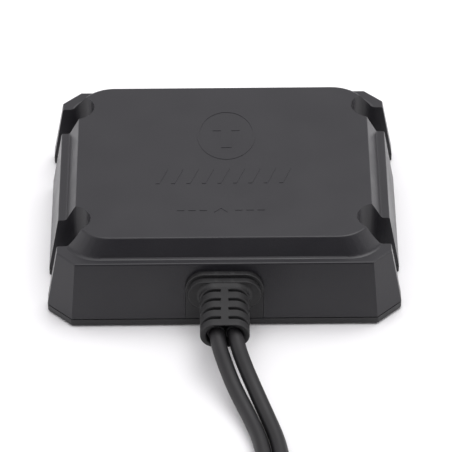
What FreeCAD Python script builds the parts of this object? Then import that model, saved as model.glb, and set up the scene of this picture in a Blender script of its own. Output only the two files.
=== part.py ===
import FreeCAD, Part
import math
import os

import Sketcher
from FreeCAD import Placement, Rotation, Vector

# A flat weatherproof radio unit with two leads: an eight-sided drafted housing on a base plate,
# a rubber strain relief on its front wall, a coax lead with a screw-on plug and a power lead
# with a barrel plug. The free length of each lead is wound into a tied coil in front of the unit.
# Frame in millimetres: the origin is the centre of the base's underside, +Z is up through the
# lid, +X is along the longer side, and the leads leave towards -Y.

DIMENSIONS = {
    "half_length": 50.0,  # housing, half its size along X at the base
    "half_width": 43.6,  # housing, half its size along Y at the base
    "corner_cut": 6.95,  # leg of the 45 degree corner
    "corner_round": 1.0,
    "base_top": 2.2,
    "gasket_top": 2.5,
    "seal_set_back": 0.2,
    "ledge_height": 19.7,
    "wall_draft": 3.0,  # how far the walls lean in between the seam and the ledge
    "lid_height": 24.94,
    "ledge_width": 2.25,
    "slope_run": 2.9,  # how far the lid's sloping sides lean in
    "lid_corner": 10.0,
    "edge_round": 0.45,
    "foot_round": 0.8,  # hollow fillet where the slope meets the ledge
    "wall": 2.2,
    "roof": 2.3,
    "over": 1.0,  # how far a cutting tool runs past the face that it opens
    "outside": 60.0,  # beyond every wall, for tools that cut right through
    "notch_y": 26.35,  # centre of each strap notch
    "notch_half": 5.9,
    "notch_centre_x": 43.4,  # centre of the notch's round end
    "notch_wall": 2.0,
    "boss_x": 40.5,
    "boss_y": 37.4,
    "boss_radius": 3.2,
    "boss_top": 16.0,
    "screw_radius": 1.4,
    "screw_head_radius": 2.7,
    "screw_head_height": 1.3,
    "screw_length": 9.0,
    "slot_half": 11.0,  # half the width of the cable entry in the front wall
    "entry_gap": 0.08,
    "entry_half_height": 5.2,
    "entry_back": -39.0,
    "entry_z": 12.2,  # height of the leads where they pass the front wall
    "flange_half": 11.05,
    "flange_half_height": 5.5,
    "flange_front": -45.5,
    "flange_step": 0.75,
    "flange_step_depth": 2.4,
    "boot_half": 6.9,
    "boot_half_height": 4.1,
    "boot_front": -63.2,
    "boot_core_inset": 1.5,
    "slit_pitch": 3.97,
    "slit_first": -48.1,
    "slit_width": 1.15,
    "spine_width": 2.3,
    "recess_inset": 1.35,
    "recess_depth": 2.7,
    "neck_half": 5.9,
    "neck_half_height": 3.4,
    "bead_half": 7.4,
    "bead_half_height": 4.6,
    "bead_front": -37.6,
    "cord_radius": 2.2,
    "coax_x": -2.4,  # where each lead passes the front wall
    "power_x": 2.7,
    "lead_joint": -60.5,
    "lead_end": -31.0,
    "saddle_half": 12.5,
    "saddle_y": -34.6,
    "saddle_depth": 4.0,
    "clamp_top": 15.7,
    "clamp_screw_x": 9.2,
    "board_half": 33.5,
    "board_front": -28.0,
    "board_back": 33.0,
    "board_bottom": 6.0,
    "board_top": 7.6,
    "post_x": 29.5,
    "post_front": -24.0,
    "post_back": 29.0,
    "post_radius": 3.0,
    "board_screw_radius": 1.2,
    "board_screw_length": 4.8,
    "clamp_screw_length": 8.0,
    "small_head_radius": 2.2,
    "small_head_height": 1.4,
    "hole_spare": 0.15,  # how much wider a clearance hole is than its screw
    "head_spare": 0.2,
    "plane_half_x": 30.0,
    "plane_half_y": 27.0,
    "plane_bottom": 13.0,
    "plane_top": 14.0,
    "spacer_x": 26.0,
    "spacer_y": 20.5,
    "patch_side": 25.0,
    "patch_height": 4.0,
    "electrode_side": 20.5,
    "electrode_height": 0.15,
    "can_length": 40.0,
    "can_width": 30.0,
    "can_y": 8.0,
    "can_height": 3.6,
    "can_wall": 0.3,
    "feed_x": 3.0,  # where the feed pin passes the ground plane
    "pin_radius": 0.6,
    "feed_hole_radius": 0.9,
    "spacer_radius": 2.2,
    "foam_side": 22.0,
    "foam_gap": 0.4,
    "capacitor_radius": 2.5,
    "capacitor_height": 4.8,
    "pigtail_radius": 0.9,
    "wire_radius": 0.65,
    "coil_inner": 16.8,
    "coil_outer": 30.0,
    "coil_bottom": 0.6,
    "coil_height": 17.6,
    "coil_y": -149.0,
    "coax_coil_x": -20.0,
    "power_coil_x": 40.3,
    "tie_width": 5.0,
    "tie_thick": 0.6,
    "plug_x": 4.6,  # axis of the screw-on coax plug, which points towards -Y
    "plug_z": 4.0,
    "plug_back": -184.5,
    "ferrule_radius": 2.5,
    "braid_radius": 1.5,
    "sleeve_radius": 3.0,
    "sleeve_tip_radius": 2.6,
    "collar_radius": 3.1,
    "insulator_radius": 2.05,
    "contact_pin_radius": 0.45,
    "nut_flats": 8.0,
    "nut_corner": 0.35,  # how far the nut's rounded corners stand out past its flats
    "nut_length": 8.2,
    "nut_clearance": 0.05,
    "nut_bore": 3.0,
    "shank_radius": 2.35,
    "barrel_x": 17.0,  # axis of the power plug, which points towards -Y
    "barrel_z": 5.0,
    "barrel_radius": 2.75,
    "barrel_length": 9.5,
    "liner_radius": 2.35,
    "liner_root": 3.4,  # how deep the liner is moulded into the grip
    "socket_radius": 1.35,
    "socket_bore": 1.05,
    "grip_radius": 5.0,
    "grip_neck_radius": 3.6,
    "grip_tail_radius": 2.8,
    "grip_tail_length": 5.0,
    "grip_shoulder": 3.0,
    "grip_back": -187.5,
    "grip_front": -202.5,
}

# The leads' routes outside the housing, each from one named end to the other.
COAX_ROUTE = [
    (-2.4, -60.5, 12.2), (-1.9, -65.2, 11.2), (0.15, -70.9, 7.9), (2.7, -77.4, 4.9),
    (6.4, -86.0, 2.85), (9.7, -96.5, 2.25), (11.0, -108.5, 2.25), (10.3, -120.5, 2.4),
    (8.4, -132.0, 2.8), (7.8, -140.0, 2.8),
]
POWER_ROUTE = [
    (2.7, -60.5, 12.2), (3.2, -65.2, 11.3), (5.35, -70.9, 8.0), (8.1, -77.4, 5.0),
    (11.2, -86.0, 3.0), (14.4, -96.5, 2.25), (15.5, -108.5, 2.25), (14.9, -120.5, 2.4),
    (13.0, -132.0, 2.8), (12.5, -140.0, 2.8),
]
COAX_TAIL = [
    (7.74, -149.0, 16.0), (7.9, -153.8, 15.95), (7.95, -158.5, 15.25), (7.95, -163.1, 13.7),
    (7.65, -167.3, 11.5), (6.9, -171.2, 8.65), (6.0, -175.4, 6.35), (5.2, -179.9, 4.8),
    (4.6, -184.5, 4.0),
]
POWER_TAIL = [
    (12.56, -149.0, 16.0), (12.45, -153.8, 15.95), (12.45, -158.5, 15.3), (12.65, -163.1, 13.85),
    (13.25, -167.3, 11.85), (14.2, -171.2, 9.3), (15.3, -175.4, 7.2), (16.25, -179.9, 5.75),
    (17.0, -184.5, 5.0),
]
# Wires inside the housing, from the clamped leads to the board.
COAX_PIGTAIL = [
    (-2.4, -31.0, 12.2), (-2.6, -27.8, 12.2), (-5.0, -24.4, 12.0), (-10.4, -22.6, 11.0),
    (-13.2, -22.4, 10.4),
]
POWER_WIRES = [
    [
        (1.8, -31.0, 12.2), (2.1, -27.6, 12.1), (5.0, -24.6, 11.2), (9.6, -22.9, 10.1),
        (12.4, -22.9, 9.8),
    ],
    [
        (3.6, -31.0, 12.2), (3.75, -28.6, 12.1), (6.2, -26.3, 11.2), (10.0, -25.1, 10.1),
        (12.4, -25.1, 9.8),
    ],
]
# Square and oblong pieces soldered to the board: centres in plan, size in plan, height.
BOARD_PIECES = {
    "amplifier_chip": ([(-10, 10)], (7, 7), 0.9),
    "controller_chip": ([(9, 12)], (9, 9), 1.0),
    "reference_crystal": ([(9, 1)], (3.2, 2.5), 0.8),
    "duplexers": ([(-13, 1), (-6, 1)], (3.8, 3.8), 1.5),
    "band_filters": ([(-16, 18), (-10, 18), (-4, 18)], (2.5, 2.0), 0.9),
    "chip_resistors": ([(-2, 6), (0, 6), (2, 6), (16, -4)], (1.6, 0.8), 0.5),
    "voltage_regulator": ([(24, -12)], (6.5, 6.5), 2.3),
    "power_inductor": ([(14, -15)], (7, 7), 3.5),
    "power_header": ([(15.4, -24)], (6, 5.6), 1.0),
    "rf_socket": ([(-15.2, -22.4)], (4, 4), 1.2),
}
# The two plugs that stand on sockets: the socket's name and the plug's height.
SOCKET_PLUGS = {"power_wire_plug": ("power_header", 3.0), "rf_wire_plug": ("rf_socket", 2.8)}
CAPACITOR_PLACES = [(-18, -15), (-11.5, -15), (-5, -15)]

doc = FreeCAD.newDocument("radio_unit")
sheet = doc.addObject("Spreadsheet::Sheet", "dims")
for row, (alias, amount) in enumerate(DIMENSIONS.items(), 1):
    sheet.set(f"A{row}", alias)
    sheet.set(f"B{row}", str(amount))
    sheet.setAlias(f"B{row}", alias)
doc.recompute()

nodes = []
SIDES = [(sx, sy) for sx in (-1, 1) for sy in (-1, 1)]
BOSSES = [(f"({sx}) * @boss_x", f"({sy}) * @boss_y") for sx, sy in SIDES]
BOARD_POSTS = [(f"({sx}) * @post_x", y) for sx in (-1, 1) for y in ("@post_front", "@post_back")]
SPACERS = [(f"({sx}) * @spacer_x", f"({sy}) * @spacer_y") for sx, sy in SIDES]
CLAMP_SCREWS = [(f"({sx}) * @clamp_screw_x", "@saddle_y") for sx in (-1, 1)]


def words(expression):
    """An expression in which @name stands for the cell of that dimension."""
    return str(expression).replace("@", "dims.")


def number(expression):
    return float(sheet.evalExpression(words(expression)))


def bind(thing, **sizes):
    for key, expression in sizes.items():
        thing.setExpression(key, words(expression))


def node(thing, label):
    """Marks a finished sub-part: its label names the file that it is written to."""
    thing.Label = label
    nodes.append(thing)
    return thing


def place(thing, x, y, z):
    for axis, expression in zip("xyz", (x, y, z)):
        thing.setExpression(f"Placement.Base.{axis}", words(expression))
    return thing


def box(name, low, high):
    """A box between two corners."""
    block = doc.addObject("Part::Box", name)
    sizes = [f"({b}) - ({a})" for a, b in zip(low, high)]
    bind(block, Length=sizes[0], Width=sizes[1], Height=sizes[2])
    return place(block, *low)


def block(name, centre, size, bottom, height):
    """A box given by its centre in plan, its size in plan, its bottom and its height."""
    low = [f"({centre[i]}) - ({size[i]}) / 2" for i in (0, 1)] + [bottom]
    high = [f"({centre[i]}) + ({size[i]}) / 2" for i in (0, 1)] + [f"({bottom}) + ({height})"]
    return box(name, low, high)


def post(name, radius, height, x, y, z):
    """An upright cylinder."""
    round_bar = doc.addObject("Part::Cylinder", name)
    bind(round_bar, Radius=radius, Height=height)
    return place(round_bar, x, y, z)


def posts_at(name, places, radius, height, z):
    """Like upright cylinders at several places in plan."""
    return [post(f"{name}{i}", radius, height, x, y, z) for i, (x, y) in enumerate(places)]


def rod(name, radius, x, z, back, front):
    """A cylinder along Y, from its back end to its front end, which is nearer to -Y."""
    round_bar = doc.addObject("Part::Cylinder", name)
    round_bar.Placement = Placement(Vector(), Rotation(Vector(1, 0, 0), 90))
    bind(round_bar, Radius=radius, Height=f"({back}) - ({front})")
    return place(round_bar, x, back, z)


def taper(name, back_radius, front_radius, x, z, back, front):
    """A cone along Y."""
    cone = doc.addObject("Part::Cone", name)
    cone.Placement = Placement(Vector(), Rotation(Vector(1, 0, 0), 90))
    bind(cone, Radius1=back_radius, Radius2=front_radius, Height=f"({back}) - ({front})")
    return place(cone, x, back, z)


def fuse(name, *shapes):
    joined = doc.addObject("Part::MultiFuse", name)
    joined.Shapes = list(shapes)
    joined.Refine = True
    return joined


def group(name, shapes):
    """Separate solids that share one node."""
    together = doc.addObject("Part::Compound", name)
    together.Links = list(shapes)
    return together


def cut(name, base, *tools):
    left = doc.addObject("Part::Cut", name)
    left.Base = base
    left.Tool = tools[0] if len(tools) == 1 else fuse(f"{name}_tool", *tools)
    left.Refine = True
    return left


def common(name, base, tool):
    both = doc.addObject("Part::Common", name)
    both.Base = base
    both.Tool = tool
    return both


def capsule(name, half, half_height, back, front, x="0", z="@entry_z"):
    """A bar along Y whose section is a lying capsule."""
    reach = f"(({half}) - ({half_height}))"
    middle = box(
        f"{name}_middle",
        (f"({x}) - {reach}", front, f"({z}) - ({half_height})"),
        (f"({x}) + {reach}", back, f"({z}) + ({half_height})"),
    )
    ends = [
        rod(f"{name}_end{side}", half_height, f"({x}) + ({side}) * {reach}", z, back, front)
        for side in (-1, 1)
    ]
    return fuse(name, middle, *ends)


def outline(body, name, height, corners):
    """A closed sketch of straight sides, level with the XY plane, each corner pinned in X and Y."""
    sketch = body.newObject("Sketcher::SketchObject", name)
    plane = next(f for f in body.Origin.OriginFeatures if f.Role == "XY_Plane")
    sketch.AttachmentSupport = (plane, [""])
    sketch.MapMode = "FlatFace"
    sketch.setExpression("AttachmentOffset.Base.z", words(height))
    points = [Vector(number(x), number(y), 0) for x, y in corners]
    count = len(points)
    for i in range(count):
        sketch.addGeometry(Part.LineSegment(points[i], points[(i + 1) % count]), False)
    for i in range(count):
        sketch.addConstraint(Sketcher.Constraint("Coincident", i, 2, (i + 1) % count, 1))
    for i, corner in enumerate(corners):
        for kind, expression in zip(("DistanceX", "DistanceY"), corner):
            pin = sketch.addConstraint(Sketcher.Constraint(kind, -1, 1, i, 1, number(expression)))
            sketch.setExpression(f"Constraints[{pin}]", words(expression))
    return sketch


def rectangle(half_x, half_y):
    corners = ((-1, -1), (1, -1), (1, 1), (-1, 1))
    return [(f"({sx}) * ({half_x})", f"({sy}) * ({half_y})") for sx, sy in corners]


def octagon(half_x, half_y, leg):
    """The corners of a rectangle whose own corners are cut at 45 degrees."""
    x, y = f"({half_x})", f"({half_y})"
    cut_x, cut_y = f"({x} - ({leg}))", f"({y} - ({leg}))"
    return [
        (cut_x, f"-{y}"), (x, f"-{cut_y}"), (x, cut_y), (cut_x, y),
        (f"-{cut_x}", y), (f"-{x}", cut_y), (f"-{x}", f"-{cut_y}"), (f"-{cut_x}", f"-{y}"),
    ]


def rounded_outline(body, name, height, half_x, half_y, radius):
    """A rectangle with round corners about the origin, held by its four sides and one radius."""
    sketch = outline(body, name, height, [])
    x, y, r = number(half_x), number(half_y), number(radius)
    for quarter, (sx, sy) in enumerate(((1, -1), (1, 1), (-1, 1), (-1, -1))):
        middle = Vector(sx * (x - r), sy * (y - r), 0)
        start, end = (quarter - 1) * math.pi / 2, quarter * math.pi / 2
        arc = Part.ArcOfCircle(Part.Circle(middle, Vector(0, 0, 1), r), start, end)
        arm = Rotation(Vector(0, 0, 1), 90 * (quarter - 1)).multVec(Vector(1, 0, 0))
        length = 2 * ((x if quarter % 2 == 0 else y) - r)
        along = Rotation(Vector(0, 0, 1), 90).multVec(arm)
        sketch.addGeometry(Part.LineSegment(middle + arm * r - along * length, middle + arm * r), False)
        sketch.addGeometry(arc, False)
    for side in range(4):
        line, arc, after = 2 * side, 2 * side + 1, (2 * side + 2) % 8
        sketch.addConstraint(Sketcher.Constraint("Tangent", line, 2, arc, 1))
        sketch.addConstraint(Sketcher.Constraint("Tangent", arc, 2, after, 1))
        sketch.addConstraint(Sketcher.Constraint("Vertical" if side % 2 else "Horizontal", line))
        if side:
            sketch.addConstraint(Sketcher.Constraint("Equal", 1, arc))
    pins = [
        ("DistanceY", 0, f"-({half_y})"), ("DistanceX", 2, half_x),
        ("DistanceY", 4, half_y), ("DistanceX", 6, f"-({half_x})"),
    ]
    for kind, line, expression in pins:
        pin = sketch.addConstraint(Sketcher.Constraint(kind, -1, 1, line, 1, number(expression)))
        sketch.setExpression(f"Constraints[{pin}]", words(expression))
    pin = sketch.addConstraint(Sketcher.Constraint("Radius", 1, r))
    sketch.setExpression(f"Constraints[{pin}]", words(radius))
    return sketch


def loft(body, name, sections):
    """A form with straight sides from each sketch to the next."""
    form = body.newObject("PartDesign::AdditiveLoft", name)
    form.Profile, form.Sections = sections[0], sections[1:]
    form.Ruled = True
    doc.recompute()
    return form


def pad(body, name, sketch, height, lean="0"):
    """Raises a sketch to a height while its sides lean in by the given distance."""
    raised = body.newObject("PartDesign::Pad", name)
    raised.Profile = sketch
    bind(raised, Length=height)
    if lean != "0":
        bind(raised, TaperAngle=f"-atan(({lean}) / ({height}))")
    doc.recompute()
    return raised


def fillet(body, name, feature, radius, wanted):
    """Rounds the edges of a feature that the wanted test picks."""
    edges = [f"Edge{i}" for i, edge in enumerate(feature.Shape.Edges, 1) if wanted(edge)]
    rounded = body.newObject("PartDesign::Fillet", name)
    rounded.Base = (feature, edges)
    bind(rounded, Radius=radius)
    doc.recompute()
    return rounded


def rises(low, high):
    """A test for edges that run from one height to another."""
    ends = [round(z, 2) for z in sorted((number(low), number(high)))]
    return lambda edge: [round(z, 2) for z in sorted(v.Z for v in edge.Vertexes)] == ends


def lies_at(height):
    """A test for level edges at one height."""
    level = number(height)
    return lambda edge: all(abs(v.Z - level) < 0.02 for v in edge.Vertexes)


ARC_SHARE = 0.45  # how much of the shorter run an arc takes up


def tube_shape(route, radius, name):
    """A round bar along straight runs joined by arcs as large as the runs allow."""
    points = [Vector(*p) for p in route]
    edges, start, radii = [], points[0], []
    for before, corner, after in zip(points, points[1:], points[2:]):
        into, out = (corner - before), (after - corner)
        shorter = min(into.Length, out.Length)
        turn = into.getAngle(out)
        into, out = into.normalize(), out.normalize()
        reach = ARC_SHARE * shorter
        first, last = corner - into * reach, corner + out * reach
        radii.append(reach / math.tan(turn / 2))
        centre_way = (out - into).normalize()
        depth = radii[-1] / math.cos(turn / 2) - radii[-1]
        edges.append(Part.LineSegment(start, first).toShape())
        edges.append(Part.Arc(first, corner + centre_way * depth, last).toShape())
        start = last
    edges.append(Part.LineSegment(start, points[-1]).toShape())
    path = Part.Wire(edges)
    section = Part.Wire(Part.makeCircle(radius, points[0], points[1] - points[0]))
    tube = path.makePipeShell([section], True, True)
    ratio = tube.Volume / (math.pi * radius**2 * path.Length)
    print(f"{name}: {path.Length:.1f} long, radii {[round(r, 1) for r in radii]}, volume ratio {ratio:.4f}")
    if abs(ratio - 1) > 0.01:
        raise RuntimeError(f"{name} doesn't follow its route")
    return tube


def tube(name, route, radius):
    feature = doc.addObject("Part::Feature", name)
    feature.Shape = tube_shape(route, number(radius), name)
    feature.Placement = Placement()
    return feature


def screw(name, radius, head_radius, head_height, length, x, y, head_z, up):
    """A cross-head screw: up is 1 for one that goes in upwards, -1 for downwards."""
    head_bottom = f"({head_z})" if up == 1 else f"({head_z}) - ({head_height})"
    shank_bottom = f"({head_z})" if up == 1 else f"({head_z}) - ({head_height}) - ({length})"
    drive_bottom = f"({head_z}) - 0.01" if up == 1 else f"({head_z}) - ({head_height}) / 2"
    head = post(f"{name}_head", head_radius, head_height, x, y, head_bottom)
    shank = post(f"{name}_shank", radius, f"({length}) + ({head_height})", x, y, shank_bottom)
    long_arm, short_arm = f"({head_radius}) * 1.1", f"({head_radius}) * 0.25"  # the cross recess
    arms = [
        block(f"{name}_drive{i}", (x, y), arm, drive_bottom, f"({head_height}) / 2 + 0.01")
        for i, arm in enumerate(((long_arm, short_arm), (short_arm, long_arm)))
    ]
    return cut(name, fuse(f"{name}_blank", head, shank), *arms)


def screws(label, places, radius, head_radius, head_height, length, head_z, up):
    """Like screws as one node."""
    made = [
        screw(f"{label}{i}", radius, head_radius, head_height, length, x, y, head_z, up)
        for i, (x, y) in enumerate(places)
    ]
    return node(group(f"{label}_set", made), label)


def notch_tool(name, spare):
    """Four upright slots that open outwards and end in a half round, wider all round by spare."""
    parts = []
    half = f"(@notch_half + {spare})"
    for i, (sx, sy) in enumerate(SIDES):
        y, inner, outer = f"({sy}) * @notch_y", f"({sx}) * @notch_centre_x", f"({sx}) * @outside"
        ends = (inner, outer) if sx > 0 else (outer, inner)
        arm = box(
            f"{name}_arm{i}", (ends[0], f"{y} - {half}", "-@over"), (ends[1], f"{y} + {half}", "@outside")
        )
        parts += [arm, post(f"{name}_end{i}", half, "@outside + @over", inner, y, "-@over")]
    return fuse(name, *parts)


# Housing: drafted eight-sided wall, then a lid with rounded corners on a narrow ledge.
def lid_half(axis_half, inset="0"):
    """Half the lid's size at its foot, along one axis."""
    return f"(@{axis_half} - @wall_draft - @ledge_width - ({inset}))"


# An even offset of an eight-sided outline shortens its corner leg by this share of the offset.
OFFSET_SHARE = 0.5858
# Each profile lists a height and how far the outline lies inside the form's foot there.
WALL_PROFILE = [
    ("@gasket_top", "0"),
    ("@ledge_height - @edge_round", "@wall_draft * 0.974"),
    ("@ledge_height - @edge_round * 0.28", "@wall_draft + @edge_round * 0.18"),
    ("@ledge_height", "@wall_draft + @edge_round * 0.8"),
]
LID_PROFILE = [
    ("@ledge_height", "-@foot_round * 0.6"),
    ("@ledge_height + @foot_round * 0.15", "-@foot_round * 0.16"),
    ("@ledge_height + @foot_round * 0.5", "@foot_round * 0.28"),
    ("@lid_height - @edge_round * 0.5", "@slope_run - @edge_round * 0.28"),
    ("@lid_height - @edge_round * 0.12", "@slope_run + @edge_round * 0.12"),
    ("@lid_height", "@slope_run + @edge_round * 0.6"),
]
lid_x, lid_y = lid_half("half_length"), lid_half("half_width")
walls = doc.addObject("PartDesign::Body", "walls_form")
loft(
    walls, "wall_sides",
    [
        outline(
            walls, f"wall_section{i}", height,
            octagon(
                f"@half_length - ({inset})", f"@half_width - ({inset})",
                f"@corner_cut - {OFFSET_SHARE} * ({inset})",
            ),
        )
        for i, (height, inset) in enumerate(WALL_PROFILE)
    ],
)
lid = doc.addObject("PartDesign::Body", "lid_form")
loft(
    lid, "lid_sides",
    [
        rounded_outline(
            lid, f"lid_section{i}", height, f"{lid_x} - ({inset})", f"{lid_y} - ({inset})", "@lid_corner"
        )
        for i, (height, inset) in enumerate(LID_PROFILE)
    ],
)
outer = fuse("outer_form", walls, lid)
doc.recompute()
inner = doc.addObject("PartDesign::Body", "inner_form")
seal_height = "(@gasket_top - @base_top)"
inner_outline = outline(
    inner, "inner_outline", f"@base_top - {seal_height}",
    octagon("@half_length - @wall", "@half_width - @wall", f"@corner_cut - @wall * {OFFSET_SHARE}"),
)
inner_height = f"@ledge_height - @roof - @base_top + {seal_height}"
pad(inner, "inner_pad", inner_outline, inner_height, "@wall_draft")
attic_outline = outline(
    inner, "attic_outline", "@ledge_height - @roof",
    rectangle(lid_half("half_length", "@wall + @over"), lid_half("half_width", "@wall + @over")),
)
pad(inner, "attic_pad", attic_outline, "@lid_height - @ledge_height", "@slope_run")

notches = notch_tool("notches", "0")
notch_walls = notch_tool("notch_walls", "@notch_wall")
bosses = fuse("bosses", *posts_at("boss", BOSSES, "@boss_radius", "@boss_top - @gasket_top", "@gasket_top"))
pilots = posts_at(
    "pilot", BOSSES, "@screw_radius", "@screw_length - @base_top + @screw_head_height + 0.5",
    f"@gasket_top - {seal_height}",
)
cavity = cut("cavity", inner, notch_walls, bosses)
entry_top = capsule("entry_top", "@slot_half", "@entry_half_height + @entry_gap", "@bead_front", "-@outside")
entry_leg = box(
    "entry_leg",
    ("-@slot_half", "-@outside", "@gasket_top - @over"),
    ("@slot_half", "@bead_front", "@entry_z"),
)
entry_slot = fuse("entry_slot", entry_top, entry_leg)
node(cut("housing_cut", outer, cavity, notches, entry_slot, *pilots), "top_housing")

# Base plate with the board's posts and the lower half of the cable clamp.
base = doc.addObject("PartDesign::Body", "base_form")
base_outline = outline(base, "base_outline", "0", octagon("@half_length", "@half_width", "@corner_cut"))
base_pad = pad(base, "base_pad", base_outline, "@base_top")
base_corners = fillet(base, "base_corners", base_pad, "@corner_round", rises("0", "@base_top"))
base_rim = fillet(base, "base_rim", base_corners, "@edge_round", lies_at("0"))
posts = posts_at(
    "board_post", BOARD_POSTS, "@post_radius", "@board_bottom - @base_top + @over", "@base_top - @over"
)
saddle = box(
    "saddle",
    ("-@saddle_half", "@saddle_y - @saddle_depth / 2", "@base_top - @over"),
    ("@saddle_half", "@saddle_y + @saddle_depth / 2", "@entry_z"),
)
lead_bores = fuse(
    "lead_bores",
    *[
        rod(f"lead_bore_{x}", "@cord_radius", f"@{x}", "@entry_z", "@board_front", "@lead_joint - @over")
        for x in ("coax_x", "power_x")
    ],
)
clamp_pilots = posts_at(
    "clamp_pilot", CLAMP_SCREWS, "@board_screw_radius", "@outside", "@clamp_top - @clamp_screw_length - 1.5"
)
post_pilots = posts_at("post_pilot", BOARD_POSTS, "@board_screw_radius", "@outside", "@board_bottom - 4.2")
head_wells = posts_at(
    "head_well", BOSSES, "@screw_head_radius + @head_spare", "@screw_head_height", "0"
)
shank_holes = posts_at("shank_hole", BOSSES, "@screw_radius + @hole_spare", "@base_top + @over", "0")
node(
    cut(
        "base_cut", fuse("base_blank", base, saddle, *posts),
        notches, lead_bores, *clamp_pilots, *post_pilots, *head_wells, *shank_holes,
    ),
    "base_plate",
)

# Flat seal between the two shells, set back a little from the outside.
seal = doc.addObject("PartDesign::Body", "seal_form")
seal_outline = outline(
    seal, "seal_outline", "@base_top",
    octagon(
        "@half_length - @seal_set_back", "@half_width - @seal_set_back",
        f"@corner_cut - {OFFSET_SHARE} * @seal_set_back",
    ),
)
pad(seal, "seal_pad", seal_outline, seal_height)
notches_wide = notch_tool("notches_wide", "@seal_set_back")
node(cut("gasket_cut", seal, cavity, notches_wide, *pilots), "base_gasket")

screws(
    "base_screws", BOSSES, "@screw_radius", "@screw_head_radius", "@screw_head_height",
    "@screw_length - @screw_head_height", "0", 1,
)

# Cable entry: a plate that fills the slot flush with the wall, and the rubber strain relief.
plate_top = capsule("plate_top", "@slot_half - @entry_gap", "@entry_half_height", "@entry_back", "-@outside")
plate_leg = box(
    "plate_leg",
    ("-@slot_half + @entry_gap", "-@outside", "@base_top"),
    ("@slot_half - @entry_gap", "@entry_back", "@entry_z"),
)
neck = capsule("neck", "@neck_half", "@neck_half_height", "@bead_front", "-@outside")
plate_blank = common("insert_blank", fuse("plate", plate_top, plate_leg), walls)
node(cut("insert_cut", plate_blank, neck), "cable_entry_insert")

FLANGE_STEPS = 2
flange_steps = [
    capsule(
        f"flange_step{i}", f"@flange_half - {i} * @flange_step", f"@flange_half_height - {i} * @flange_step",
        "@entry_back", f"@flange_front + {FLANGE_STEPS - 1 - i} * @flange_step_depth",
    )
    for i in range(FLANGE_STEPS)
]
flange = cut("flange", fuse("flange_blank", *flange_steps), walls)
barrel = capsule("boot_barrel", "@boot_half", "@boot_half_height", "@flange_front + @over", "@boot_front")
SLITS = 4
slit_places = [f"@slit_first - {i} * @slit_pitch" for i in range(SLITS)]
slits = [
    capsule(
        f"slit_ring{i}", "@boot_half + @over", "@boot_half_height + @over",
        f"{y} + @slit_width / 2", f"{y} - @slit_width / 2",
    )
    for i, y in enumerate(slit_places)
]
boot_core = capsule(
    "boot_core", "@boot_half - @boot_core_inset", "@boot_half_height - @boot_core_inset",
    "@flange_front + @over", "@boot_front - @over",
)
spine = box(
    "spine",
    ("-@spine_width / 2", "@boot_front - @over", "@entry_z - @boot_half_height - 2 * @over"),
    ("@spine_width / 2", "@flange_front + @over", "@entry_z + @boot_half_height + 2 * @over"),
)
slit_tool = cut("slit_tool", fuse("slit_rings", *slits), boot_core, spine)
recess = capsule(
    "recess", "@boot_half - @recess_inset", "@boot_half_height - @recess_inset",
    "@boot_front + @recess_depth", "@boot_front - @over",
)
bead = capsule("bead", "@bead_half", "@bead_half_height", "@bead_front", "@entry_back")
inner_neck = capsule("inner_neck", "@neck_half", "@neck_half_height", "@bead_front", "@flange_front")
boot = node(
    cut("boot_cut", fuse("boot_blank", flange, barrel, bead, inner_neck), slit_tool, recess, lead_bores),
    "strain_relief_boot",
)

# Cable clamp on the saddle, and the stretches of lead that the housing holds.
clamp_bar = box(
    "clamp_bar",
    ("-@saddle_half", "@saddle_y - @saddle_depth / 2", "@entry_z"),
    ("@saddle_half", "@saddle_y + @saddle_depth / 2", "@clamp_top"),
)
node(cut("clamp_cut", clamp_bar, lead_bores, *clamp_pilots), "cable_clamp")
screws(
    "cable_clamp_screws", CLAMP_SCREWS, "@board_screw_radius", "@small_head_radius", "@small_head_height",
    "@clamp_screw_length", "@clamp_top + @small_head_height", -1,
)
held_leads = {
    lead: node(
        rod(f"{lead}_rod", "@cord_radius", f"@{lead}_x", "@entry_z", "@lead_end", "@lead_joint"),
        f"{lead}_lead_inside",
    )
    for lead in ("coax", "power")
}
node(tube("pigtail_tube", COAX_PIGTAIL, "@pigtail_radius"), "coax_pigtail")
wires = [tube(f"wire_tube{i}", route, "@wire_radius") for i, route in enumerate(POWER_WIRES)]
node(group("power_wire_set", wires), "power_wires")

# Main board and what is soldered to it.
board_slab = box(
    "board_slab",
    ("-@board_half", "@board_front", "@board_bottom"),
    ("@board_half", "@board_back", "@board_top"),
)
board_holes = posts_at(
    "board_hole", BOARD_POSTS, "@board_screw_radius + @hole_spare", "@outside", "@board_bottom - @over"
)
node(cut("board_cut", board_slab, *board_holes), "main_board")
screws(
    "board_screws", BOARD_POSTS, "@board_screw_radius", "@small_head_radius", "@small_head_height",
    "@board_screw_length", "@board_top + @small_head_height", -1,
)
for label, (centres, size, height) in BOARD_PIECES.items():
    blocks = [
        block(f"{label}_block{i}", centre, size, "@board_top", height)
        for i, centre in enumerate(centres)
    ]
    node(blocks[0] if len(blocks) == 1 else group(f"{label}_set", blocks), label)
for label, (socket, height) in SOCKET_PLUGS.items():
    centres, size, socket_height = BOARD_PIECES[socket]
    stands_on = f"@board_top + {socket_height}"
    node(block(f"{label}_block", centres[0], size, stands_on, height), label)
capacitors = posts_at(
    "capacitor", CAPACITOR_PLACES, "@capacitor_radius", "@capacitor_height", "@board_top"
)
node(group("capacitor_set", capacitors), "capacitors")

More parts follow.
